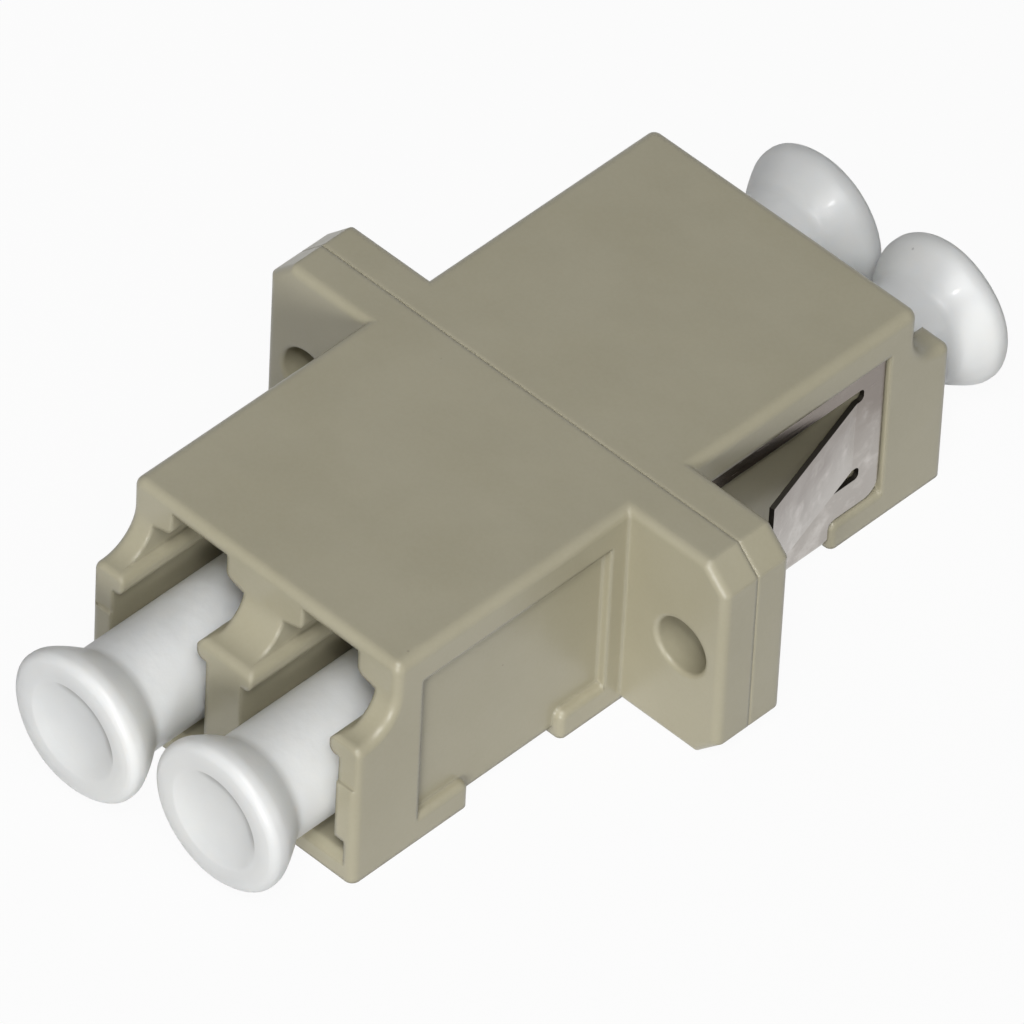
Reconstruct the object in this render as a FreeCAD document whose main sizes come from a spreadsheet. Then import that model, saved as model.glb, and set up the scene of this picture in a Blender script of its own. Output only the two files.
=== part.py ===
import FreeCAD, Part
import os
import re

import Sketcher
from FreeCAD import Placement, Rotation, Vector

# Duplex adapter for small form factor fibre connectors, in millimetres.
# X runs across the two ports, Y runs along them, Z is up. The origin is the centre of the
# underside, in the plane where the two housing halves are welded together.
# Each line is the name, the value and what it measures.
SIZES = (
    ("body_width", 12.7, "both housings, outside"),
    ("body_height", 9.1, "both housings and the flange"),
    ("roof_reach", 12.65, "weld plane to the front of the roof"),
    ("nose_reach", 14.5, "weld plane to the tips of the side walls"),
    ("nose_height", 6.3, "underside to the top of the wall noses"),
    ("nose_flat", 0.4, "flat on top of each wall nose"),
    ("top_round", 0.4, "rounded long edges of the roof"),
    ("front_round", 0.33, "rounded edges of the roof's front and the noses"),
    ("tip_step", 0.08, "height of the mould step on the wall tips"),
    ("tip_step_height", 4.4, "underside to that mould step"),
    ("flange_half", 1.58, "half of the flange's thickness"),
    ("flange_corner", 1.0, "bevel at the flange's corners"),
    ("flange_round", 0.33, "rounded outer edges of the flange"),
    ("seam_bevel", 0.03, "bevel along the welded seam"),
    ("hole_spacing", 18.0, "centre to centre of the fixing holes"),
    ("hole_diameter", 2.25, "fixing hole"),
    ("hole_height", 4.5, "underside to the fixing holes"),
    ("hole_margin", 1.93, "centre of a fixing hole to the flange's tip"),
    ("hole_round", 0.15, "rounded edge of the fixing holes"),
    ("port_spacing", 6.25, "centre to centre of the two ports"),
    ("port_axis", 3.25, "underside to the ferrule axis"),
    ("port_width", 4.6, "port between its side walls"),
    ("port_floor", 0.95, "underside to the port floor"),
    ("rail_gap", 3.68, "port between its two guide rails"),
    ("rail_underside", 5.5, "underside to the bottom of the guide rails"),
    ("rail_round", 0.3, "rounded edges of the guide rails"),
    ("wing_width", 4.38, "slot for the latch wings"),
    ("tooth_underside", 7.45, "underside to the locking teeth"),
    ("tooth_slant", 0.2, "rise of the teeth's underside towards the slot"),
    ("tooth_round", 0.3, "rounded edge of the locking teeth"),
    ("latch_gap", 2.64, "slot between the locking teeth"),
    ("latch_ceiling", 8.62, "underside to the top of the latch slot"),
    ("tooth_depth", 3.0, "locking teeth along the port"),
    ("latch_room", 3.2, "free room behind the locking teeth"),
    ("relief_width", 5.5, "port with its lower corner reliefs"),
    ("relief_height", 0.85, "height of the corner reliefs"),
    ("relief_depth", 2.6, "corner reliefs along the port"),
    ("lip_bevel", 0.3, "bevel on the floor's front edge"),
    ("mid_wall", 0.8, "weld plane to the bottom of each port"),
    ("barrel_diameter", 2.9, "barrel that holds the sleeve"),
    ("barrel_reach", 4.3, "weld plane to the barrel's end"),
    ("barrel_bevel", 0.2, "bevel at the barrel's end"),
    ("ferrule_entry", 1.45, "hole in the barrel's end"),
    ("recess_depth", 0.4, "side recess for the clip"),
    ("recess_near", 2.35, "weld plane to the recess"),
    ("recess_far", 11.4, "weld plane to the recess's far end"),
    ("recess_top", 7.7, "underside to the recess's top"),
    ("rim_height", 1.15, "rim below the recess"),
    ("rim_round", 0.25, "rounded outer edge of the rim"),
    ("channel_near", 4.45, "weld plane to the clip channel"),
    ("channel_far", 8.9, "weld plane to the channel's far side"),
    ("channel_depth", 0.4, "channel across the underside"),
    ("sleeve_length", 6.8, "split sleeve"),
    ("sleeve_bore", 1.25, "split sleeve, inside"),
    ("sleeve_wall", 0.18, "split sleeve wall"),
    ("sleeve_slit", 0.3, "slit along the sleeve"),
    ("sleeve_play", 0.06, "gap all round and at each end of a sleeve"),
    ("clip_gauge", 0.2, "thickness of the clip's strip"),
    ("clip_play", 0.05, "gap between the clip and its recess"),
    ("clip_bend", 0.35, "outside radius of the clip's lower bends"),
    ("clip_end_gap", 0.12, "gap at both ends of the clip plate"),
    ("clip_foot", 0.1, "clip plate above the rim"),
    ("clip_corner", 0.7, "rounded lower corner of the clip plate"),
    ("neck_round", 0.35, "rounded inner corner above the clip's neck"),
    ("tab_low", 3.1, "underside to the tab's lower edge"),
    ("tab_high", 6.3, "underside to the tab's upper edge"),
    ("tab_root", 9.9, "weld plane to the tab's root"),
    ("tab_length", 6.0, "tab, from its root to its free end"),
    ("tab_angle", 15.8, "angle of the bent-out tab"),
    ("tab_bend", 0.3, "inside radius of the bend at the tab's root"),
    ("tab_slot", 0.55, "width of the slots above and below the tab"),
    ("tab_stub", 0.1, "flat start of the tab behind its bend"),
    ("slot_reach", 0.35, "slots past the tab's root"),
    ("slot_round", 0.2, "rounded ends of the slots"),
    ("cap_play", 0.175, "gap between a dust cap's shaft and the port's side walls"),
    ("cap_slack", 0.2, "gap between the cap's bore and the barrel inside it"),
    ("cap_inner_end", 2.4, "weld plane to the shaft's inner end"),
    ("cap_neck", 16.4, "weld plane to the head's root"),
    ("cap_neck_round", 0.8, "hollow corner at the head's root"),
    ("cap_rim", 17.66, "weld plane to the end of the head's slope"),
    ("cap_face", 18.3, "weld plane to the cap's face"),
    ("cap_head", 5.9, "dust cap's head"),
    ("cap_bowl", 0.9, "rounded shoulder at the end of the head's slope"),
    ("cap_dish", 3.9, "dish in the cap's face"),
    ("cap_dish_foot", 2.2, "where the dish's slope would meet its floor"),
    ("cap_dish_depth", 0.75, "depth of the dish"),
    ("cap_dish_round", 2.2, "rounding between the dish's slope and its floor"),
    ("cap_lip_round", 0.15, "rounded edge of the dish"),
    ("cap_face_round", 0.33, "rounded edge of the cap's face"),
    ("cap_web", 1.2, "material between the dish and the bore"),
    ("cap_tip_bevel", 0.3, "bevel at the shaft's inner end"),
    ("front_left_pull", 0.26, "how much further out the front left cap sits"),
    ("front_right_push", 0.29, "how much deeper the front right cap sits"),
    ("rear_right_aside", 0.15, "how far the rear right cap sits towards the middle"),
    ("rear_lift", 0.12, "how far the rear caps sit above their ports' axes"),
)
ALIASES = {name for name, value, note in SIZES}
SIDES = (-1, 1)
PORT_AXES = ("-port_spacing / 2", "port_spacing / 2")
TURNED_ROUND = Rotation(Vector(0, 0, 1), 180)
# Points nearer to each other than this are taken to touch.
TOUCH = 1e-6
# Where the clip's strip lies in the seat that the housing gives it.
CLIP_INNER = "(body_width / 2 - recess_depth + clip_play)"
CLIP_OUTER = "(body_width / 2 - recess_depth + clip_play + clip_gauge)"
PLATE_LOW = "(rim_height + clip_foot)"
STRAP_LOW = "(channel_depth - clip_play - clip_gauge)"
NECK_NEAR = "(channel_near + clip_play)"
NECK_FAR = "(channel_far - clip_play)"
SEAT_ROUND = "neck_round - clip_play"
FLANGE_TIP = "(hole_spacing / 2 + hole_margin)"
# A cap slides in its port and over the barrel, so its shaft takes its sizes from those two.
CAP_OUTER = "(port_width / 2 - cap_play)"
CAP_INNER = "(barrel_diameter / 2 + cap_slack)"


def tied(formula):
    """Write each size in a formula with the sheet that holds it."""

    def with_sheet(word):
        return f"Sizes.{word[0]}" if word[0] in ALIASES else word[0]

    return re.sub(r"\b[a-z_]+\b", with_sheet, formula)


def read(owner, formula):
    """Value of a formula of sizes."""
    return float(owner.evalExpression(tied(formula)))


def bind(owner, setting, formula):
    """Tie a setting of an object to a formula of sizes."""
    owner.setExpression(setting, tied(formula))


def write_sheet(doc):
    sheet = doc.addObject("Spreadsheet::Sheet", "Sizes")
    for row, (name, value, note) in enumerate(SIZES, 1):
        sheet.set(f"A{row}", name)
        sheet.set(f"B{row}", str(value))
        sheet.setAlias(f"B{row}", name)
        sheet.set(f"C{row}", note)
    doc.recompute()


def new_body(doc, label):
    body = doc.addObject("PartDesign::Body", label)
    body.Label = label
    return body


def sketch_on(body, plane, name, offset=("0", "0", "0")):
    """Sketch on one of the body's own planes, moved by three formulas in the plane's own axes."""
    sketch = body.newObject("Sketcher::SketchObject", name)
    support = next(item for item in body.Origin.OriginFeatures if item.Role == plane)
    sketch.AttachmentSupport = [(support, "")]
    sketch.MapMode = "FlatFace"
    for axis, formula in zip("xyz", offset):
        bind(sketch, f".AttachmentOffset.Base.{axis}", formula)
    return sketch


def hold(sketch, element, end, corner):
    """Hold one point of a sketch at a pair of formulas."""
    for kind, formula in zip(("DistanceX", "DistanceY"), corner):
        size = Sketcher.Constraint(kind, element, end, read(sketch, formula))
        number = sketch.addConstraint(size)
        bind(sketch, f"Constraints[{number}]", formula)


def outline(sketch, *corners):
    """Closed outline through corners of two formulas each; a third formula rounds the corner."""
    points = [Vector(read(sketch, corner[0]), read(sketch, corner[1]), 0) for corner in corners]
    count = len(points)
    first = sketch.GeometryCount
    for index in range(count):
        sketch.addGeometry(Part.LineSegment(points[index], points[(index + 1) % count]))
    for index in range(count):
        after = first + (index + 1) % count
        sketch.addConstraint(Sketcher.Constraint("Coincident", first + index, 2, after, 1))
    held = []
    arcs = []
    for index, corner in enumerate(corners):
        before = first + (index - 1) % count
        after = first + index
        if len(corner) == 2:
            held.append((after, 1, corner))
            continue
        aside = (points[index] + points[index - 1]) / 2
        ahead = (points[index] + points[(index + 1) % count]) / 2
        sketch.fillet(before, after, aside, ahead, read(sketch, corner[2]), True, True)
        arc = sketch.GeometryCount - 2
        arcs.append((arc, corner[2]))
        held.append((arc + 1, 1, corner[:2]))
    for element, end, corner in held:
        hold(sketch, element, end, corner)
    for arc, radius in arcs:
        number = sketch.addConstraint(Sketcher.Constraint("Radius", arc, read(sketch, radius)))
        bind(sketch, f"Constraints[{number}]", radius)


def circle(sketch, centre, diameter):
    """Circle held at a pair of formulas."""
    middle = Vector(read(sketch, centre[0]), read(sketch, centre[1]), 0)
    size = read(sketch, diameter)
    ring = sketch.addGeometry(Part.Circle(middle, Vector(0, 0, 1), size / 2))
    hold(sketch, ring, 3, centre)
    number = sketch.addConstraint(Sketcher.Constraint("Diameter", ring, size))
    bind(sketch, f"Constraints[{number}]", diameter)


def extrude(kind, sketch, length, symmetric=False, reverse=False):
    """Pad or pocket of a sketch, in the sketch's own body."""
    body = sketch.getParentGeoFeatureGroup()
    before = body.Shape.Volume if body.Tip else 0
    feature = body.newObject(f"PartDesign::{kind}", sketch.Name.replace("Sketch", kind))
    feature.Profile = sketch
    bind(feature, "Length", length)
    feature.SideType = "Symmetric" if symmetric else "One side"
    feature.Reversed = reverse
    sketch.Document.recompute()
    check_change(feature, before)
    return feature


def turn(kind, sketch):
    """Revolution or groove about the sketch's upright axis."""
    body = sketch.getParentGeoFeatureGroup()
    before = body.Shape.Volume if body.Tip else 0
    feature = body.newObject(f"PartDesign::{kind}", sketch.Name.replace("Sketch", kind))
    feature.Profile = sketch
    feature.ReferenceAxis = (sketch, ["V_Axis"])
    feature.Angle = 360
    sketch.Document.recompute()
    check_change(feature, before)
    return feature


def check_change(feature, before):
    """Stop if a feature added or cut nothing, such as a pocket that points away from the solid."""
    change = feature.Shape.Volume - before
    cuts = feature.TypeId.endswith(("Pocket", "Groove"))
    if (change >= 0) if cuts else (change <= 0):
        raise RuntimeError(f"{feature.Name} leaves its body unchanged")


def soften(kind, body, size, name, chosen):
    """Fillet or chamfer on the edges of a body that a test chooses by their middle points."""
    base = body.Tip
    picked = []
    for number, edge in enumerate(base.Shape.Edges, 1):
        middle = edge.valueAt((edge.FirstParameter + edge.LastParameter) / 2)
        if chosen(middle):
            picked.append(f"Edge{number}")
    feature = body.newObject(f"PartDesign::{kind}", name)
    feature.Base = (base, picked)
    bind(feature, "Radius" if kind == "Fillet" else "Size", size)
    body.Document.recompute()


def mirrored(centre, half):
    """Outline symmetric about an upright line, from the corners of its right half."""
    right = [(f"{centre} + {across}", *rest) for across, *rest in half]
    left = [(f"{centre} - ({across})", *rest) for across, *rest in reversed(half)]
    return right + left


def box_outline(sketch, low, high):
    """Upright rectangle between two opposite corners."""
    outline(sketch, low, (high[0], low[1]), high, (low[0], high[1]))


def add_shell(body):
    """Plain half housing, cut back above its wall noses by a hollow sweep in front of the roof."""
    section = sketch_on(body, "XZ_Plane", "SectionSketch", ("0", "0", "seam_bevel"))
    outline(
        section,
        *mirrored("0", (("body_width / 2", "0"), ("body_width / 2", "body_height", "top_round"))),
    )
    extrude("Pad", section, "nose_reach - seam_bevel")
    front = sketch_on(body, "YZ_Plane", "FrontSketch")
    outline(
        front,
        ("-roof_reach", "body_height"),
        ("-roof_reach", "nose_height", "nose_reach - roof_reach - nose_flat"),
        ("-nose_reach", "nose_height"),
        ("-nose_reach", "body_height"),
    )
    extrude("Pocket", front, "body_width", symmetric=True)
    roof_front = read(body, "-roof_reach")
    near_roof = read(body, "nose_height")

    def is_front_edge(middle):
        over_the_sweep = middle.y < roof_front + TOUCH and middle.z > near_roof - TOUCH
        at_side = abs(abs(middle.x) - read(body, "body_width / 2")) < TOUCH
        at_tip = abs(middle.y - read(body, "-nose_reach")) < TOUCH
        at_roof = abs(middle.y - roof_front) < TOUCH
        return (over_the_sweep and (at_side or at_tip or at_roof)) or (at_side and at_tip)

    soften("Fillet", body, "front_round", "FrontRound", is_front_edge)


def add_flange(body):
    """Half of the flange, with beveled corners, rounded outer edges and a fine bevel at the seam."""
    sketch = sketch_on(body, "XZ_Plane", "FlangeSketch")
    outline(
        sketch,
        *mirrored(
            "0",
            (
                (f"{FLANGE_TIP} - flange_corner", "0"),
                (FLANGE_TIP, "flange_corner"),
                (FLANGE_TIP, "body_height - flange_corner"),
                (f"{FLANGE_TIP} - flange_corner", "body_height"),
            ),
        ),
    )
    extrude("Pad", sketch, "flange_half")
    front = read(body, "-flange_half")
    soften("Fillet", body, "flange_round", "FlangeRound", lambda middle: abs(middle.y - front) < TOUCH)
    soften("Chamfer", body, "seam_bevel", "SeamBevel", lambda middle: abs(middle.y) < TOUCH)


def add_ports(body):
    """Two ports: a square bore, guide rails, wing slots and a latch slot between two teeth."""
    half = (
        ("port_width / 2", "port_floor"),
        ("port_width / 2", "rail_underside"),
        ("rail_gap / 2", "rail_underside", "rail_round"),
        ("rail_gap / 2", "nose_height", "rail_round"),
        ("wing_width / 2", "nose_height"),
        ("wing_width / 2", "tooth_underside"),
        ("latch_gap / 2", "tooth_underside + tooth_slant", "tooth_round"),
        ("latch_gap / 2", "latch_ceiling"),
    )
    ports = sketch_on(body, "XZ_Plane", "PortSketch", ("0", "0", "nose_reach"))
    rooms = sketch_on(body, "XZ_Plane", "LatchRoomSketch", ("0", "0", "roof_reach - tooth_depth"))
    reliefs = sketch_on(body, "XZ_Plane", "ReliefSketch", ("0", "0", "nose_reach"))
    for axis in PORT_AXES:
        outline(ports, *mirrored(axis, half))
        box_outline(
            rooms,
            (f"{axis} - wing_width / 2", "nose_height"),
            (f"{axis} + wing_width / 2", "latch_ceiling"),
        )
        box_outline(
            reliefs,
            (f"{axis} - relief_width / 2", "port_floor"),
            (f"{axis} + relief_width / 2", "port_floor + relief_height"),
        )
    extrude("Pocket", ports, "nose_reach - mid_wall")
    extrude("Pocket", rooms, "latch_room")
    extrude("Pocket", reliefs, "relief_depth")


def add_mouth_details(body):
    """Bevel along each port's floor lip and the shallow mould step on the outer wall tips."""
    for axis in PORT_AXES:
        lip = sketch_on(body, "YZ_Plane", "LipSketch", ("0", "0", axis))
        outline(
            lip,
            ("-nose_reach", "port_floor - lip_bevel"),
            ("-nose_reach + lip_bevel", "port_floor"),
            ("-nose_reach", "port_floor"),
        )
        extrude("Pocket", lip, "relief_width", symmetric=True)
    steps = sketch_on(body, "XZ_Plane", "TipStepSketch", ("0", "0", "nose_reach"))
    for side in SIDES:
        box_outline(
            steps,
            (f"{side} * port_spacing / 2", "tip_step_height"),
            (f"{side} * body_width / 2", "body_height"),
        )
    extrude("Pocket", steps, "tip_step")


def add_clip_seat(body):
    """Recess on each side with a low rim, and the channel that joins them under the floor."""
    for side in SIDES:
        recess = sketch_on(body, "YZ_Plane", "RecessSketch", ("0", "0", f"{side} * body_width / 2"))
        outline(
            recess,
            ("-recess_near", "recess_top"),
            ("-recess_near", "rim_height"),
            ("-channel_near", "rim_height", SEAT_ROUND),
            ("-channel_near", "0"),
            ("-channel_far", "0"),
            ("-channel_far", "rim_height", SEAT_ROUND),
            ("-recess_far", "rim_height"),
            ("-recess_far", "recess_top"),
        )
        extrude("Pocket", recess, "recess_depth", reverse=side < 0)
    outside = read(body, "body_width / 2")
    over_rim = read(body, "rim_height") + TOUCH
    near = read(body, "-recess_near")
    far = read(body, "-recess_far")

    def is_rim_edge(middle):
        in_recess = far + TOUCH < middle.y < near - TOUCH
        return in_recess and abs(abs(middle.x) - outside) < TOUCH and TOUCH < middle.z < over_rim

    soften("Fillet", body, "rim_round", "RimRound", is_rim_edge)
    channel = sketch_on(body, "YZ_Plane", "ChannelSketch")
    box_outline(channel, ("-channel_far", "0"), ("-channel_near", "channel_depth"))
    extrude("Pocket", channel, "body_width", symmetric=True)


def add_barrels(body):
    """Barrel on each port's axis, bored from the weld plane for one half of a split sleeve."""
    seat = "sleeve_bore / 2 + sleeve_wall + sleeve_play"
    stop = "-sleeve_length / 2 - sleeve_play"
    for axis in PORT_AXES:
        barrel = sketch_on(body, "XY_Plane", "BarrelSketch", (axis, "0", "port_axis"))
        outline(
            barrel,
            ("0", "-mid_wall / 2"),
            ("barrel_diameter / 2", "-mid_wall / 2"),
            ("barrel_diameter / 2", "-barrel_reach + barrel_bevel"),
            ("barrel_diameter / 2 - barrel_bevel", "-barrel_reach"),
            ("0", "-barrel_reach"),
        )
        turn("Revolution", barrel)
        bore = sketch_on(body, "XY_Plane", "BoreSketch", (axis, "0", "port_axis"))
        outline(
            bore,
            ("0", "0"),
            (seat, "0"),
            (seat, stop),
            ("ferrule_entry / 2", stop),
            ("ferrule_entry / 2", "-barrel_reach + barrel_bevel"),
            ("ferrule_entry / 2 + barrel_bevel", "-barrel_reach"),
            ("0", "-barrel_reach"),
        )
        turn("Groove", bore)


def add_holes(body):
    """Two fixing holes through the flange, with rounded edges on its outer face."""
    holes = sketch_on(body, "XZ_Plane", "HoleSketch")
    for side in SIDES:
        circle(holes, (f"{side} * hole_spacing / 2", "hole_height"), "hole_diameter")
    extrude("Pocket", holes, "flange_half", reverse=True)
    front = read(body, "-flange_half")
    centre = read(body, "hole_spacing / 2")
    reach = read(body, "hole_diameter / 2") + TOUCH

    def is_hole_edge(middle):
        return abs(middle.y - front) < TOUCH and abs(abs(middle.x) - centre) < reach

    soften("Fillet", body, "hole_round", "HoleRound", is_hole_edge)


def make_housing(doc, label, turned):
    """One moulded half of the housing; the rear one is the same moulding turned round."""
    body = new_body(doc, label)
    add_flange(body)
    add_shell(body)
    add_ports(body)
    add_mouth_details(body)
    add_barrels(body)
    add_clip_seat(body)
    add_holes(body)
    body.Placement = Placement(Vector(0, 0, 0), TURNED_ROUND if turned else Rotation())
    return body


def make_sleeve(doc, label, axis):
    """Split sleeve: a thin ceramic tube with one slit along its whole length."""
    body = new_body(doc, label)
    tube = sketch_on(body, "XZ_Plane", "TubeSketch")
    circle(tube, ("0", "0"), "sleeve_bore + 2 * sleeve_wall")
    circle(tube, ("0", "0"), "sleeve_bore")
    extrude("Pad", tube, "sleeve_length", symmetric=True)
    slit = sketch_on(body, "XZ_Plane", "SlitSketch")
    box_outline(slit, ("-sleeve_slit / 2", "0"), ("sleeve_slit / 2", "sleeve_bore"))
    extrude("Pocket", slit, "sleeve_length", symmetric=True)
    bind(body, ".Placement.Base.x", axis)
    bind(body, ".Placement.Base.z", "port_axis")
    return body


def make_clip(doc):
    """Spring clip: one folded strip round the rear half, with a bent-out tab on each side."""
    body = new_body(doc, "spring_clip")
    add_strap(body)
    for side in SIDES:
        add_clip_plate(body, side)
        add_tab(body, side)
    return body


def add_strap(body):
    """Strap under the rear half, with a rounded bend up into each side plate."""
    strap = sketch_on(body, "XZ_Plane", "StrapSketch", ("0", "0", f"-{NECK_NEAR}"))
    outline(
        strap,
        *mirrored(
            "0",
            (
                (CLIP_OUTER, STRAP_LOW, "clip_bend"),
                (CLIP_OUTER, PLATE_LOW),
                (CLIP_INNER, PLATE_LOW),
                (CLIP_INNER, "channel_depth - clip_play", "clip_bend - clip_gauge"),
            ),
        ),
    )
    extrude("Pad", strap, f"{NECK_FAR} - {NECK_NEAR}", reverse=True)


def add_clip_plate(body, side):
    """Side plate with a narrow neck at its foot and a window for the tab, open at the flange."""
    plate = sketch_on(body, "YZ_Plane", "PlateSketch", ("0", "0", f"{side} * {CLIP_INNER}"))
    near = "recess_near + clip_end_gap"
    far = "recess_far - clip_end_gap"
    top = "recess_top - clip_play"
    slot_end = "tab_root + slot_reach"
    outline(
        plate,
        (near, top),
        (far, top),
        (far, PLATE_LOW, "clip_corner"),
        (NECK_FAR, PLATE_LOW, "neck_round"),
        (NECK_FAR, f"{STRAP_LOW} + clip_bend"),
        (NECK_NEAR, f"{STRAP_LOW} + clip_bend"),
        (NECK_NEAR, PLATE_LOW, "neck_round"),
        (near, PLATE_LOW, "clip_corner"),
        (near, "tab_low - tab_slot"),
        (slot_end, "tab_low - tab_slot", "slot_round"),
        (slot_end, "tab_low", "slot_round"),
        ("tab_root + tab_stub", "tab_low"),
        ("tab_root + tab_stub", "tab_high"),
        (slot_end, "tab_high", "slot_round"),
        (slot_end, "tab_high + tab_slot", "slot_round"),
        (near, "tab_high + tab_slot"),
    )
    extrude("Pad", plate, "clip_gauge", reverse=side < 0)


def add_tab(body, side):
    """Panel tab, bent outwards at its root behind the window."""
    tab = sketch_on(body, "XY_Plane", "TabSketch", ("0", "0", "tab_low"))
    tip_x = f"{CLIP_OUTER} + tab_length * sin(tab_angle)"
    tip_y = "tab_root - tab_length * cos(tab_angle)"
    outline(
        tab,
        (f"{side} * {CLIP_INNER}", "tab_root + tab_stub"),
        (f"{side} * {CLIP_OUTER}", "tab_root + tab_stub"),
        (f"{side} * {CLIP_OUTER}", "tab_root", "tab_bend"),
        (f"{side} * ({tip_x})", tip_y),
        (f"{side} * ({tip_x} - clip_gauge * cos(tab_angle))", f"{tip_y} - clip_gauge * sin(tab_angle)"),
        (
            f"{side} * {CLIP_INNER}",
            "tab_root - clip_gauge * tan(tab_angle / 2)",
            "tab_bend + clip_gauge",
        ),
    )
    extrude("Pad", tab, "tab_high - tab_low")


def make_cap(doc, label, place, turned):
    """Dust cap: a hollow shaft that flares into a head with a dished face."""
    body = new_body(doc, label)
    profile = sketch_on(body, "XY_Plane", "CapSketch")
    outline(
        profile,
        (CAP_INNER, "-cap_inner_end"),
        (f"{CAP_OUTER} - cap_tip_bevel", "-cap_inner_end"),
        (CAP_OUTER, "-cap_inner_end - cap_tip_bevel"),
        (CAP_OUTER, "-cap_neck", "cap_neck_round"),
        ("cap_head / 2", "-cap_rim", "cap_bowl"),
        ("cap_head / 2", "-cap_face", "cap_face_round"),
        ("cap_dish / 2", "-cap_face", "cap_lip_round"),
        ("cap_dish_foot / 2", "-cap_face + cap_dish_depth", "cap_dish_round"),
        ("0", "-cap_face + cap_dish_depth"),
        ("0", "-cap_face + cap_dish_depth + cap_web"),
        (CAP_INNER, "-cap_face + cap_dish_depth + cap_web"),
    )
    turn("Revolution", profile)
    body.Placement = Placement(Vector(0, 0, 0), TURNED_ROUND if turned else Rotation())
    for axis, formula in zip("xyz", place):
        bind(body, f".Placement.Base.{axis}", formula)
    return body


def write_steps(doc, nodes):
    """Stop on any failed object, then write one file for each piece."""
    doc.recompute()
    failed = [item.Name for item in doc.Objects if {"Invalid", "Error"} & set(item.State)]
    if failed:
        raise RuntimeError(f"failed objects: {failed}")
    for node in nodes:
        if node.Shape.isNull() or not node.Shape.isValid():
            raise RuntimeError(f"{node.Label} has no valid shape")
    os.makedirs("parts", exist_ok=True)
    for node in nodes:
        node.Shape.exportStep(f"parts/{node.Label}.step")
        box = node.Shape.BoundBox
        print(node.Label, len(node.Shape.Solids), round(node.Shape.Volume, 3), box)


def build():
    doc = FreeCAD.newDocument("Adapter")
    write_sheet(doc)
    left, right = PORT_AXES
    rear_left = (left, "0", "port_axis + rear_lift")
    rear_right = (f"{right} - rear_right_aside", "0", "port_axis + rear_lift")
    nodes = [
        make_housing(doc, "front_housing", turned=False),
        make_housing(doc, "rear_housing", turned=True),
        make_clip(doc),
        make_sleeve(doc, "left_split_sleeve", left),
        make_sleeve(doc, "right_split_sleeve", right),
        make_cap(doc, "front_left_dust_cap", (left, "-front_left_pull", "port_axis"), turned=False),
        make_cap(doc, "front_right_dust_cap", (right, "front_right_push", "port_axis"), turned=False),
        make_cap(doc, "rear_left_dust_cap", rear_left, turned=True),
        make_cap(doc, "rear_right_dust_cap", rear_right, turned=True),
    ]
    write_steps(doc, nodes)


build()
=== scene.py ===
import math

import bmesh
import bpy
from mathutils import Matrix, Vector, noise


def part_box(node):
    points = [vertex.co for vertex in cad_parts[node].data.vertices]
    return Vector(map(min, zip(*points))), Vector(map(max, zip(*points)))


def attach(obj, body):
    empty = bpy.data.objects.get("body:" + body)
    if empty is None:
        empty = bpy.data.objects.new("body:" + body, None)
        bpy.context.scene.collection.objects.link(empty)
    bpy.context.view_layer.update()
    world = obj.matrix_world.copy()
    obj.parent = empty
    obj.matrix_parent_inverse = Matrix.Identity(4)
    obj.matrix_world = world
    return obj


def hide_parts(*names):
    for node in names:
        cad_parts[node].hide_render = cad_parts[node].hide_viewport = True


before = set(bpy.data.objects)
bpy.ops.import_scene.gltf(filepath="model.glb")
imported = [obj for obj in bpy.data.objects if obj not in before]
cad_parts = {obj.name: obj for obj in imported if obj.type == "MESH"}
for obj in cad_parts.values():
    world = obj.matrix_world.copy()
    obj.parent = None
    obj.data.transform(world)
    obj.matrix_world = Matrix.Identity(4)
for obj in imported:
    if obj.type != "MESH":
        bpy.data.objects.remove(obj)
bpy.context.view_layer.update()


# The two housing halves are one beige moulding, made twice and welded together back to back.
# The plastic is a fine satin with a faint mottle, a few dust specks, and edges that the mould
# leaves soft, with a painted highlight that makes them a little paler.
class Wire:
    """A shader socket. Arithmetic on it adds Math nodes to the material that it belongs to."""

    def __init__(self, tree, socket):
        self.tree = tree
        self.socket = socket

    def node(self, kind, settings=None, values=None, output=0):
        """Any node, from its settings and the values or wires of its sockets."""
        made = self.tree.nodes.new(kind)
        for name, setting in (settings or {}).items():
            setattr(made, name, setting)
        for name, value in (values or {}).items():
            if isinstance(value, Wire):
                self.tree.links.new(value.socket, made.inputs[name])
            else:
                made.inputs[name].default_value = value
        return Wire(self.tree, made.outputs[output])

    def math(self, operation, other=0.0):
        return self.node("ShaderNodeMath", {"operation": operation}, {0: self, 1: other})

    def flipped_math(self, operation, other):
        return self.node("ShaderNodeMath", {"operation": operation}, {0: other, 1: self})

    def __add__(self, other):
        return self.math("ADD", other)

    def __radd__(self, other):
        return self.flipped_math("ADD", other)

    def __sub__(self, other):
        return self.math("SUBTRACT", other)

    def __rsub__(self, other):
        return self.flipped_math("SUBTRACT", other)

    def __mul__(self, other):
        return self.math("MULTIPLY", other)

    def __rmul__(self, other):
        return self.flipped_math("MULTIPLY", other)

    def between(self, low, high):
        """0 below low, 1 above high, smooth between them."""
        settings = {"interpolation_type": "SMOOTHSTEP"}
        return self.node("ShaderNodeMapRange", settings, {"Value": self, "From Min": low, "From Max": high})


MM = 0.001


def new_material(name):
    """Material with its shader, and a wire for where a point is on the object, in millimetres."""
    material = bpy.data.materials.new(name)
    material.use_nodes = True
    tree = material.node_tree
    shader = tree.nodes["Principled BSDF"]
    place = Wire(tree, None).node("ShaderNodeTexCoord", output="Object")
    place = place.node("ShaderNodeVectorMath", {"operation": "SCALE"}, {0: place, "Scale": 1 / MM})
    return material, shader, place


def grain(place, per_mm, detail=2.0, roughness=0.5):
    """Soft noise from 0 to 1, with so many features to the millimetre."""
    values = {"Vector": place, "Scale": per_mm, "Detail": detail, "Roughness": roughness}
    return place.node("ShaderNodeTexNoise", None, values)


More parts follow.
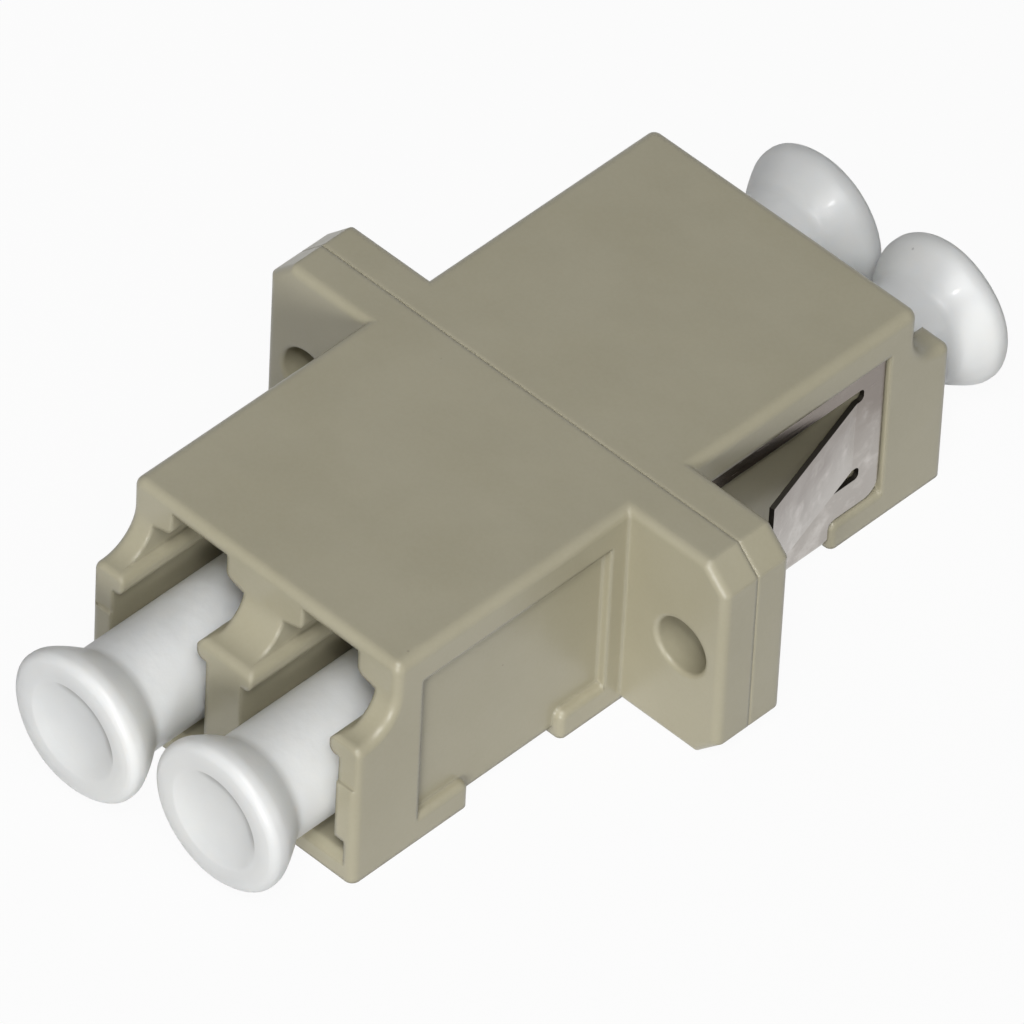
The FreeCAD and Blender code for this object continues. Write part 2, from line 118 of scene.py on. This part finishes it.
# A Mix node's colour sockets go by number, because several sockets share each name.
MIX_SHARE = 0
MIX_FIRST = 6
MIX_SECOND = 7
MIX_COLOR = 2


def mixed(share, first, second):
    """Colour between two others, each of them a wire or three plain numbers."""
    values = {MIX_SHARE: share}
    for socket, color in ((MIX_FIRST, first), (MIX_SECOND, second)):
        values[socket] = color if isinstance(color, Wire) else (*color, 1.0)
    return share.node("ShaderNodeMix", {"data_type": "RGBA"}, values, output=MIX_COLOR)


def specks(place, per_mm, size, share):
    """Mask of small round specks, on the given share of evenly scattered cells."""
    values = {"Vector": place, "Scale": per_mm}
    near = place.node("ShaderNodeTexVoronoi", None, values, output="Distance")
    cell = place.node("ShaderNodeTexVoronoi", None, values, output="Color")
    pick = cell.node("ShaderNodeSeparateColor", None, {"Color": cell}, output="Red")
    return (1 - near.between(size * 0.5, size)) * pick.math("LESS_THAN", share)


def bumped(height, depth_mm, under=None):
    """Surface direction over a bump whose height runs from 0 to 1."""
    values = {"Height": height, "Distance": depth_mm * MM}
    if under is not None:
        values["Normal"] = under
    return height.node("ShaderNodeBump", None, values)


BEVEL_SAMPLES = 6
EDGE_TURN = (0.01, 0.2)


def soft_edges(place, radius_mm):
    """Surface direction with its sharp edges rounded, and a mask of where it was rounded."""
    rounded = place.node("ShaderNodeBevel", {"samples": BEVEL_SAMPLES}, {"Radius": radius_mm * MM})
    plain = place.node("ShaderNodeNewGeometry", output="Normal")
    along = rounded.node(
        "ShaderNodeVectorMath", {"operation": "DOT_PRODUCT"}, {0: rounded, 1: plain}, output="Value"
    )
    return rounded, (1 - along).between(*EDGE_TURN)


def use(shader, wire, name):
    """Lead a wire into one of the shader's own sockets."""
    wire.tree.links.new(wire.socket, shader.inputs[name])


PLASTIC = (0.365, 0.338, 0.242)
PLASTIC_DEEP = (0.342, 0.315, 0.22)
PLASTIC_PALE_AND_HIGHLIGHT = (0.47, 0.44, 0.35)
PLASTIC_DUST = (0.2, 0.175, 0.13)
PLASTIC_IOR = 1.49
PLASTIC_ROUGHNESS = 0.25
PLASTIC_ROUGHNESS_SPREAD = 0.12
FINE_SHARE = 0.07
EDGE_HIGHLIGHT_SHARE = 0.15
EDGE_POLISH = 0.12
EDGE_ROUND_MM = 0.25
DUST_SHARE = 0.6
SINK_MM = 0.05
SKIN_MM = 0.0015


def moulded_plastic():
    material, shader, place = new_material("beige_moulded_plastic")
    rounded, edge = soft_edges(place, EDGE_ROUND_MM)
    mottle = grain(place, per_mm=0.22, detail=3.0).between(0.3, 0.7)
    tone = mixed(mottle, PLASTIC_DEEP, PLASTIC)
    fine = grain(place, per_mm=7.0, detail=3.0).between(0.25, 0.75)
    tone = mixed(fine * FINE_SHARE, tone, PLASTIC_PALE_AND_HIGHLIGHT)
    # Painted highlight: the rounded edges are mixed toward the pale tone.
    tone = mixed(edge * EDGE_HIGHLIGHT_SHARE, tone, PLASTIC_PALE_AND_HIGHLIGHT)
    dust = specks(place, per_mm=0.55, size=0.045, share=0.3)
    tone = mixed(dust * DUST_SHARE, tone, PLASTIC_DUST)
    use(shader, tone, "Base Color")
    matt = grain(place, per_mm=1.6, detail=4.0) * PLASTIC_ROUGHNESS_SPREAD + PLASTIC_ROUGHNESS
    use(shader, matt - edge * EDGE_POLISH, "Roughness")
    sink = bumped(grain(place, per_mm=0.35), SINK_MM, under=rounded)
    skin = bumped(grain(place, per_mm=9.0), SKIN_MM, under=sink)
    use(shader, skin, "Normal")
    shader.inputs["IOR"].default_value = PLASTIC_IOR
    return material


def coat(node, material):
    """Give a CAD piece its finished material."""
    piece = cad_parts[node]
    for slot in piece.material_slots:
        slot.material = material


beige = moulded_plastic()
coat("front_housing", beige)
coat("rear_housing", beige)


# The two split sleeves are thin tubes of white zirconia, ground all over and slit along one side.
# Each floats in a barrel inside the housing and lines up the two ferrules that meet in it.
ZIRCONIA = (0.84, 0.84, 0.8)
ZIRCONIA_WARM = (0.78, 0.77, 0.71)
ZIRCONIA_IOR = 2.1
ZIRCONIA_ROUGHNESS = 0.1
ZIRCONIA_ROUGHNESS_SPREAD = 0.12
GRINDING_MM = 0.001
GRINDING_SQUEEZE = (0.4, 30.0, 0.4)


def ground_zirconia():
    material, shader, place = new_material("ground_zirconia")
    use(shader, mixed(grain(place, per_mm=1.2, detail=3.0), ZIRCONIA, ZIRCONIA_WARM), "Base Color")
    squeezed = place.node("ShaderNodeMapping", None, {"Vector": place, "Scale": GRINDING_SQUEEZE})
    rings = grain(squeezed, per_mm=1.0)
    use(shader, rings * ZIRCONIA_ROUGHNESS_SPREAD + ZIRCONIA_ROUGHNESS, "Roughness")
    use(shader, bumped(rings, GRINDING_MM), "Normal")
    shader.inputs["IOR"].default_value = ZIRCONIA_IOR
    return material


zirconia = ground_zirconia()
coat("left_split_sleeve", zirconia)
coat("right_split_sleeve", zirconia)


# The spring clip is stamped from stainless strip and folded round the rear half of the housing.
# Its rolled faces are cloudy and slightly pink, and lighter and paler towards the bottom. The sheared
# edges are rough and nearly black.
STEEL = (0.395, 0.37, 0.342)
STEEL_CLOUD = (0.24, 0.21, 0.188)
STEEL_PALE = (0.6, 0.57, 0.54)
SHEARED = (0.05, 0.045, 0.038)
SHEARED_ROUGHNESS = 0.5
ROLLED_POLISH = 0.28
CLOUD_POLISH = 0.1
LINE_ROUGHNESS = 0.08
LINE_MM = 0.004
LINE_SQUEEZE = (6.0, 0.5, 6.0)
CLOUD_FOOT_MM = 2.5
CLOUD_TOP_MM = 7.5
CLOUD_GRAIN = 0.6
CLOUD_LOW = 0.5
PALE_HIGH = 0.15
PALE_LOW = 0.5
FACE_TURN = (0.55, 0.75)
STRAP_TURN = (0.6, 0.8)


def rolled_steel():
    material, shader, place = new_material("cloudy_stainless_strip")
    height = place.node("ShaderNodeSeparateXYZ", None, {"Vector": place}, output="Z")
    low = 1 - height.between(CLOUD_FOOT_MM, CLOUD_TOP_MM)
    cloud = (grain(place, per_mm=0.4, detail=3.0) * CLOUD_GRAIN + low * CLOUD_LOW).between(0.3, 0.8)
    tone = mixed(cloud, STEEL_CLOUD, STEEL)
    pale = grain(place, per_mm=0.9, detail=4.0, roughness=0.6).between(0.48, 0.75)
    tone = mixed(pale * (low * PALE_LOW + PALE_HIGH), tone, STEEL_PALE)
    facing = place.node("ShaderNodeNewGeometry", output="Normal")
    across = facing.node("ShaderNodeSeparateXYZ", None, {"Vector": facing}, output="X")
    upward = facing.node("ShaderNodeSeparateXYZ", None, {"Vector": facing}, output="Z")
    flat = across.math("ABSOLUTE").between(*FACE_TURN)
    strap = (0 - upward).between(*STRAP_TURN)
    rolled = flat.math("MAXIMUM", strap)
    tone = mixed(rolled, SHEARED, tone)
    use(shader, tone, "Base Color")
    streaks = place.node("ShaderNodeMapping", None, {"Vector": place, "Scale": LINE_SQUEEZE})
    lines = grain(streaks, per_mm=1.5, detail=3.0)
    change = lines * LINE_ROUGHNESS - cloud * CLOUD_POLISH - ROLLED_POLISH
    use(shader, rolled * change + SHEARED_ROUGHNESS, "Roughness")
    use(shader, bumped(lines, LINE_MM), "Normal")
    shader.inputs["Metallic"].default_value = 1.0
    return material


coat("spring_clip", rolled_steel())


# Each dust cap is one soft white plug with a waxy bloom, trimmed by hand, so no two heads are quite
# round. A hollow shaft grips the port and flares into the head, which has a dish in its face.
# Each corner of its outline is a radius, a depth from the face, and how far back its rounding starts.
CAP_CORNERS_MM = (
    (1.65, 15.9, 0.05),
    (1.825, 15.9, 0.08),
    (2.125, 15.6, 0.1),
    (2.125, 1.95, 0.2),
    (2.61, 1.33, 0.5),
    (2.95, 0.64, 0.15),
    (2.95, 0.24, 0.12),
    (2.74, 0.04, 0.12),
    (2.35, 0.0, 0.1),
    (1.95, 0.02, 0.06),
    (1.3, 0.3, 0.3),
    (0.0, 0.48, 0.0),
    (0.0, 1.95, 0.0),
    (1.65, 1.95, 0.15),
)
CAP_STEPS = 96
CORNER_STEPS = 6
MERGE_MM = 0.002
CAP_HEAD_MM = 2.2
WOBBLE_SHARE = 0.0233
WOBBLE_CELL_MM = 2.4
WOBBLE_SHIFT = 400
WAX = (0.79, 0.8, 0.795)
WAX_SHADE = (0.73, 0.74, 0.74)
WAX_WARM = (0.78, 0.785, 0.77)
WAX_DIRT = (0.35, 0.35, 0.35)
WAX_PAINTED_SHADE = (0.36, 0.36, 0.345)
WARM_SHARE = 0.6
DIRT_SHARE = 0.55
WAX_IOR = 1.5
WAX_ROUGHNESS = 0.42
WAX_ROUGHNESS_SPREAD = 0.14
WAX_WAVE_MM = 0.06
WAX_SKIN_MM = 0.004
BLOOM = 0.16
BLOOM_ROUGHNESS = 0.14
LIGHT_REACH = (1.0, 0.95, 0.9)
LIGHT_REACH_MM = 0.9
# Painted shade on the caps: the face is darkened a little, and the dish wall on the side turned away from
# the light much more.
FACE_SHADE = 0.2
FACE_SHADE_DEPTH_MM = 0.9
DISH_RIM_MM = 1.97
DISH_DEPTH_MM = 0.5
DISH_FLOOR_MM = 1.25
DISH_MIDDLE_MM = 0.1
SHADED_SIDE = Vector((0.56, 0.83))
SHADE_START = 0.4
SHADE_FADE = 0.35


def clamped(value):
    return min(1.0, max(0.0, value))


def painted_shade_at(spot, depth):
    """How much painted shade the wax gets: a little over the face, most on the dish's wall turned away from
    the light.
    """
    face_shade_share = clamped(2 * (FACE_SHADE_DEPTH_MM - depth)) * FACE_SHADE
    if spot.length > DISH_RIM_MM or depth > DISH_DEPTH_MM or spot.length < DISH_MIDDLE_MM:
        return face_shade_share
    turned_away = clamped((spot.normalized().dot(SHADED_SIDE) - SHADE_START) / SHADE_FADE)
    steep = clamped((spot.length - DISH_FLOOR_MM) / (DISH_RIM_MM - DISH_FLOOR_MM))
    return max(face_shade_share, turned_away * steep)


def waxy_plastic():
    material, shader, place = new_material("waxy_white_plastic")
    tone = mixed(grain(place, per_mm=0.35).between(0.3, 0.7), WAX_SHADE, WAX)
    warm = grain(place, per_mm=0.18, detail=1.0).between(0.4, 0.7)
    tone = mixed(warm * WARM_SHARE, tone, WAX_WARM)
    shade_mask = place.node("ShaderNodeAttribute", {"attribute_name": "painted_shade"}, output="Fac")
    # Painted shade: the face, and the dish wall turned away from the light, are darkened toward grey.
    tone = mixed(shade_mask, tone, WAX_PAINTED_SHADE)
    dirt = specks(place, per_mm=0.6, size=0.05, share=0.25)
    tone = mixed(dirt * DIRT_SHARE, tone, WAX_DIRT)
    use(shader, tone, "Base Color")
    matt = grain(place, per_mm=1.4, detail=3.0) * WAX_ROUGHNESS_SPREAD + WAX_ROUGHNESS
    use(shader, matt, "Roughness")
    wave = bumped(grain(place, per_mm=0.6), WAX_WAVE_MM)
    use(shader, bumped(grain(place, per_mm=8.0, detail=3.0), WAX_SKIN_MM, under=wave), "Normal")
    shader.inputs["IOR"].default_value = WAX_IOR
    shader.inputs["Coat Weight"].default_value = BLOOM
    shader.inputs["Coat Roughness"].default_value = BLOOM_ROUGHNESS
    shader.inputs["Subsurface Weight"].default_value = 1.0
    shader.inputs["Subsurface Radius"].default_value = LIGHT_REACH
    shader.inputs["Subsurface Scale"].default_value = LIGHT_REACH_MM * MM
    return material


def draw_outline(shape):
    """Closed outline of a cap beside its axis, with the corners rounded."""
    points = [shape.verts.new((radius * MM, depth * MM, 0)) for radius, depth, back in CAP_CORNERS_MM]
    for start, end in zip(points, points[1:] + points[:1]):
        shape.edges.new((start, end))
    for point, (radius, depth, back) in zip(points, CAP_CORNERS_MM):
        if back:
            bmesh.ops.bevel(
                shape,
                geom=[point],
                offset=back * MM,
                offset_type="OFFSET",
                affect="VERTICES",
                segments=CORNER_STEPS,
                profile=0.5,
                material=-1,
            )


def spin_outline(shape):
    """Turn the outline once round the cap's axis."""
    bmesh.ops.spin(
        shape,
        geom=shape.verts[:] + shape.edges[:],
        cent=(0, 0, 0),
        axis=(0, 1, 0),
        angle=math.tau,
        steps=CAP_STEPS,
        use_merge=True,
    )
    bmesh.ops.remove_doubles(shape, verts=shape.verts, dist=MERGE_MM * MM)


def shade_and_wobble_head(shape, axis):
    """Note the painted shade of each point, and push the head a little out of round."""
    painted_shade = shape.verts.layers.float.new("painted_shade")
    for vert in shape.verts:
        vert[painted_shade] = painted_shade_at(Vector((vert.co.x, vert.co.z)) / MM, vert.co.y / MM)
        head = max(0.0, 1 - vert.co.y / (CAP_HEAD_MM * MM))
        seed = Vector((vert.co.x, vert.co.z, 0)) / (WOBBLE_CELL_MM * MM) + axis * WOBBLE_SHIFT
        vert.co += Vector((vert.co.x, 0, vert.co.z)) * noise.noise(seed) * head * WOBBLE_SHARE


def turn_cap(name, node, outward):
    """Turned cap in the place of its node; outward is which way along Y its face looks."""
    low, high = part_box(node)
    axis = Vector(((low[0] + high[0]) / 2, 0, (low[2] + high[2]) / 2))
    face = high[1] if outward > 0 else low[1]
    shape = bmesh.new()
    draw_outline(shape)
    spin_outline(shape)
    shade_and_wobble_head(shape, axis)
    place = Matrix.Translation(axis + Vector((0, face, 0))) @ Matrix.Diagonal((1, -outward, 1, 1))
    bmesh.ops.transform(shape, matrix=place, verts=shape.verts)
    bmesh.ops.recalc_face_normals(shape, faces=shape.faces)
    mesh = bpy.data.meshes.new(name)
    shape.to_mesh(mesh)
    shape.free()
    for polygon in mesh.polygons:
        polygon.use_smooth = True
    mesh.materials.append(wax)
    piece = bpy.data.objects.new(name, mesh)
    bpy.context.collection.objects.link(piece)
    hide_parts(node)
    return piece


wax = waxy_plastic()
for side, outward in (("front_left", -1), ("front_right", -1), ("rear_left", 1), ("rear_right", 1)):
    cap = turn_cap(f"{side}_cap_turned", f"{side}_dust_cap", outward)
    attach(cap, f"{side}_cap")


# Pale studio sweep: a wide flat floor that reads as white, and a faint even sky. One broad soft lamp
# stands above the camera, a small one beside it makes the glints, and a low one lights the front.
# The camera stands where the photograph was taken from.
WHITE = (1.0, 1.0, 1.0, 1.0)
FLOOR_HALF = 3.0
FLOOR_SHARE = 0.95
FLOOR_TONE = (0.55, 0.55, 0.55, 1.0)
FLOOR_ROUGHNESS = 0.9
SKY_LEVEL = 0.04


def seen_directly(tree):
    """1 for rays from the camera and for reflected or refracted ones, 0 for the rest."""
    start = Wire(tree, None)
    camera_ray = start.node("ShaderNodeLightPath", output="Is Camera Ray")
    glossy_ray = start.node("ShaderNodeLightPath", output="Is Glossy Ray")
    clear_ray = start.node("ShaderNodeLightPath", output="Is Transmission Ray")
    return (camera_ray + glossy_ray + clear_ray).math("MINIMUM", 1.0)


def shade_between(tree, share, first, second, output):
    """Lead a mix of two shaders into the tree's output."""
    mix = tree.nodes.new("ShaderNodeMixShader")
    tree.links.new(share.socket, mix.inputs[0])
    tree.links.new(first.outputs[0], mix.inputs[1])
    tree.links.new(second.outputs[0], mix.inputs[2])
    tree.links.new(mix.outputs[0], tree.nodes[output].inputs["Surface"])


def make_floor():
    shape = bmesh.new()
    bmesh.ops.create_grid(shape, x_segments=1, y_segments=1, size=FLOOR_HALF)
    mesh = bpy.data.meshes.new("floor")
    shape.to_mesh(mesh)
    shape.free()
    floor = bpy.data.objects.new("floor", mesh)
    bpy.context.collection.objects.link(floor)
    material = bpy.data.materials.new("white_paper")
    material.use_nodes = True
    tree = material.node_tree
    paper = tree.nodes["Principled BSDF"]
    paper.inputs["Base Color"].default_value = FLOOR_TONE
    paper.inputs["Roughness"].default_value = FLOOR_ROUGHNESS
    paper.inputs["Specular IOR Level"].default_value = 0.0
    white = tree.nodes.new("ShaderNodeEmission")
    share = seen_directly(tree) * FLOOR_SHARE
    shade_between(tree, share, paper, white, "Material Output")
    mesh.materials.append(material)


def make_sky():
    world = bpy.data.worlds.new("sky")
    bpy.context.scene.world = world
    world.use_nodes = True
    tree = world.node_tree
    faint = tree.nodes["Background"]
    faint.inputs["Color"].default_value = WHITE
    faint.inputs["Strength"].default_value = SKY_LEVEL
    white = tree.nodes.new("ShaderNodeBackground")
    white.inputs["Color"].default_value = WHITE
    shade_between(tree, seen_directly(tree), faint, white, "World Output")


# Each lamp has a name, a direction from the object, a width in metres and its watts.
LAMP_DISTANCE = 0.45
LAMPS = (
    ("high_lamp", (0.37, -0.42, 0.83), 0.25, 1.21),
    ("spark_lamp", (0.4, -0.46, 0.8), 0.025, 0.28),
    ("low_lamp", (0.54, -0.82, 0.17), 0.15, 1.05),
)


def make_lamp(name, toward, size, watts):
    """Round soft lamp in a direction from the object, facing it."""
    lamp = bpy.data.lights.new(name, "AREA")
    lamp.shape = "DISK"
    lamp.size = size
    lamp.energy = watts
    stand = bpy.data.objects.new(name, lamp)
    direction = Vector(toward).normalized()
    stand.location = direction * LAMP_DISTANCE
    stand.rotation_euler = direction.to_track_quat("Z", "Y").to_euler()
    bpy.context.collection.objects.link(stand)


CAMERA_PLACE = (0.25685, -0.28161, 0.3788)
CAMERA_TURN = 42.421
CAMERA_DROP = 44.569
CAMERA_ROLL = 2.986
CAMERA_LENS_MM = 548.65
FILM_WIDTH_MM = 36.0
NEAR_CLIP = 0.01


def make_camera():
    """Camera turned about Z, then tilted down, then rolled, as the photograph's was."""
    lens = bpy.data.cameras.new("camera")
    lens.sensor_width = FILM_WIDTH_MM
    lens.lens = CAMERA_LENS_MM
    lens.clip_start = NEAR_CLIP
    camera = bpy.data.objects.new("camera", lens)
    turned = Matrix.Rotation(math.radians(CAMERA_TURN), 4, "Z")
    tilted = Matrix.Rotation(math.radians(90 - CAMERA_DROP), 4, "X")
    rolled = Matrix.Rotation(math.radians(CAMERA_ROLL), 4, "Z")
    camera.matrix_world = Matrix.Translation(CAMERA_PLACE) @ turned @ tilted @ rolled
    bpy.context.collection.objects.link(camera)
    bpy.context.scene.camera = camera


make_floor()
make_sky()
for name, toward, size, watts in LAMPS:
    make_lamp(name, toward, size, watts)
make_camera()
bpy.context.scene.view_settings.view_transform = "Standard"
